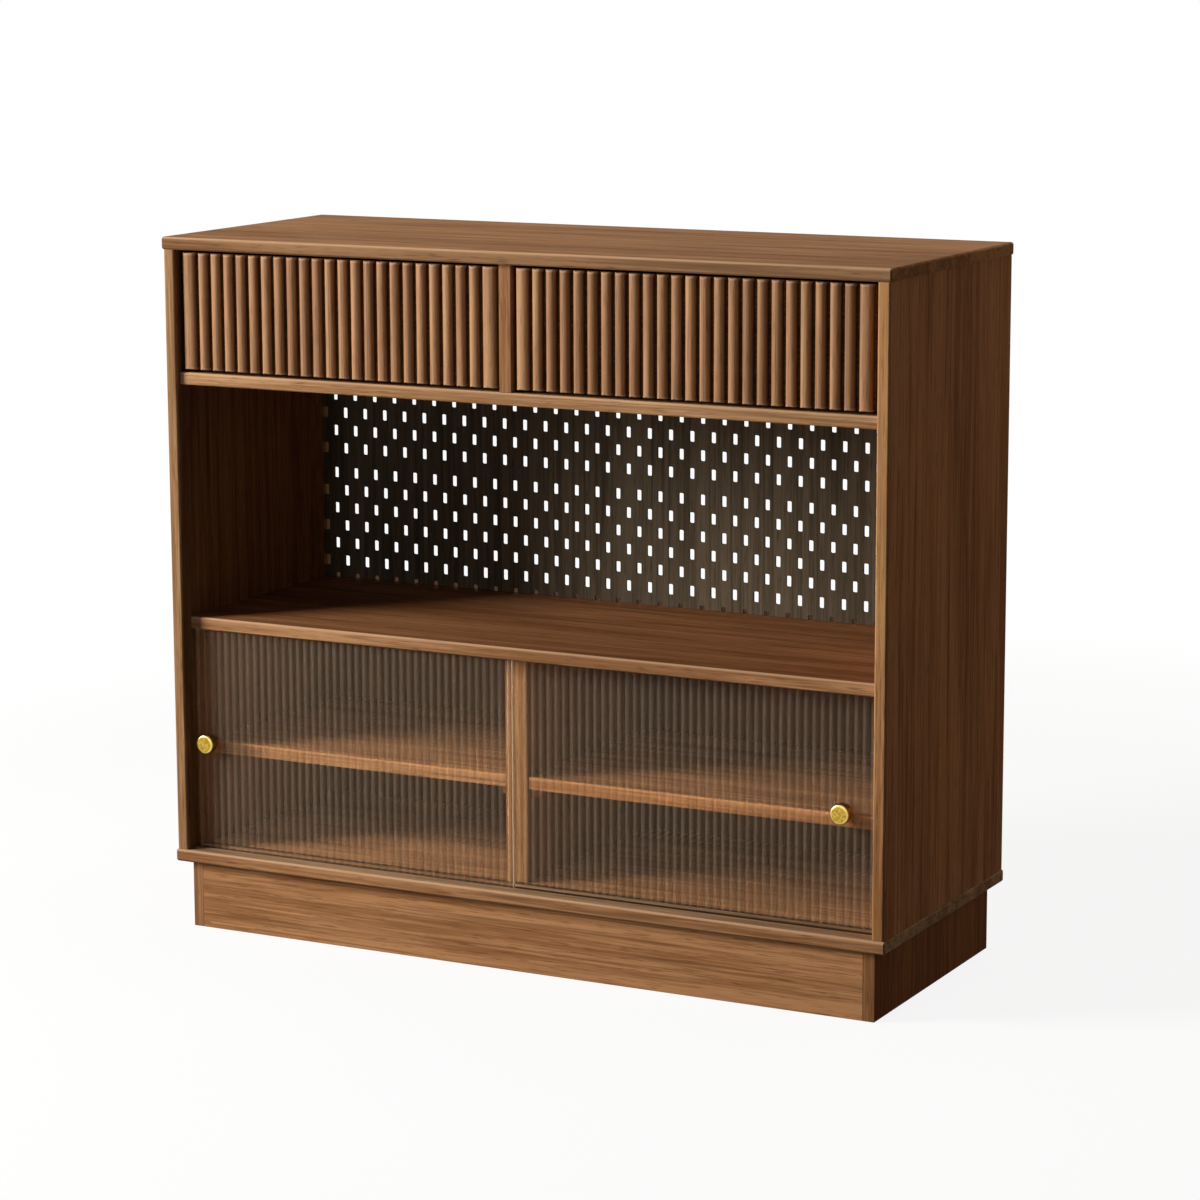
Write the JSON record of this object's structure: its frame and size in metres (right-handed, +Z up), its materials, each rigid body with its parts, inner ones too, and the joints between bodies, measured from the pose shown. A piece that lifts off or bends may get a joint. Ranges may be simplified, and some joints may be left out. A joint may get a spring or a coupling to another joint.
{
  "type": "media cabinet",
  "caption": "Walnut media cabinet with slatted drawers, an open niche backed by slotted board and sliding fluted-glass doors on a recessed plinth.",
  "frame": {"origin": "centre of the footprint, on the floor", "axes": "+X to the right along the width seen from the front, +Y to the back, +Z up"},
  "size_m": [1, 0.385, 0.9],
  "materials": {
    "walnut": "satin lacquered walnut",
    "smoked_board": "matt dark-stained board",
    "back_board": "plain thin board",
    "drawer_box": "plain sanded board",
    "fluted_glass": "clear fluted glass",
    "brass": "satin brass",
    "runner_steel": "zinc-plated steel",
    "track_plastic": "matt brown plastic",
    "latch_plastic": "matt dark plastic"
  },
  "bodies": {
    "carcass": {"top_panel": "walnut", "bottom_panel": "walnut", "left_side_panel": "walnut", "right_side_panel": "walnut", "drawer_deck": "walnut", "main_shelf": "walnut", "drawer_divider": "walnut", "lower_partition": "walnut", "left_inner_shelf": "walnut", "right_inner_shelf": "walnut", "shelf_cleats": "walnut", "pegboard": "smoked_board", "upper_back_panel": "back_board", "lower_back_panel": "back_board", "plinth_front": "walnut", "plinth_back": "walnut", "plinth_left_side": "walnut", "plinth_right_side": "walnut", "plinth_brace": "walnut", "plinth_corner_blocks": "walnut", "lower_door_tracks": "track_plastic", "upper_door_tracks": "track_plastic", "left_runner_cabinet_members": "runner_steel", "right_runner_cabinet_members": "runner_steel", "push_latch_housings": "latch_plastic", "push_latch_plungers": "latch_plastic"},
    "left_drawer": {"left_drawer_front": "walnut", "left_drawer_slats": "walnut", "left_drawer_left_side": "drawer_box", "left_drawer_right_side": "drawer_box", "left_drawer_back": "drawer_box", "left_drawer_bottom": "drawer_box", "left_runner_drawer_members": "runner_steel"},
    "left_runner_middle": {"left_runner_middle_members": "runner_steel"},
    "right_drawer": {"right_drawer_front": "walnut", "right_drawer_slats": "walnut", "right_drawer_left_side": "drawer_box", "right_drawer_right_side": "drawer_box", "right_drawer_back": "drawer_box", "right_drawer_bottom": "drawer_box", "right_runner_drawer_members": "runner_steel"},
    "right_runner_middle": {"right_runner_middle_members": "runner_steel"},
    "left_door": {"left_door_glass": "fluted_glass", "left_door_knob": "brass"},
    "right_door": {"right_door_glass": "fluted_glass", "right_door_knob": "brass"}
  },
  "joints": [
    {"name": "left_drawer_slide", "type": "slide", "parent": "carcass", "child": "left_drawer", "axis": [0, -1, 0], "range_m": [0, 0.28]},
    {"name": "left_runner_slide", "type": "slide", "parent": "carcass", "child": "left_runner_middle", "axis": [0, -1, 0], "range_m": [0, 0.14]},
    {"name": "right_drawer_slide", "type": "slide", "parent": "carcass", "child": "right_drawer", "axis": [0, -1, 0], "range_m": [0, 0.28]},
    {"name": "right_runner_slide", "type": "slide", "parent": "carcass", "child": "right_runner_middle", "axis": [0, -1, 0], "range_m": [0, 0.14]},
    {"name": "left_door_slide", "type": "slide", "parent": "carcass", "child": "left_door", "axis": [1, 0, 0], "range_m": [0, 0.43]},
    {"name": "right_door_slide", "type": "slide", "parent": "carcass", "child": "right_door", "axis": [-1, 0, 0], "range_m": [0, 0.43]}
  ],
  "couplings": [
    {"joint": "left_runner_slide", "follows": "left_drawer_slide", "ratio": 0.5},
    {"joint": "right_runner_slide", "follows": "right_drawer_slide", "ratio": 0.5}
  ]
}
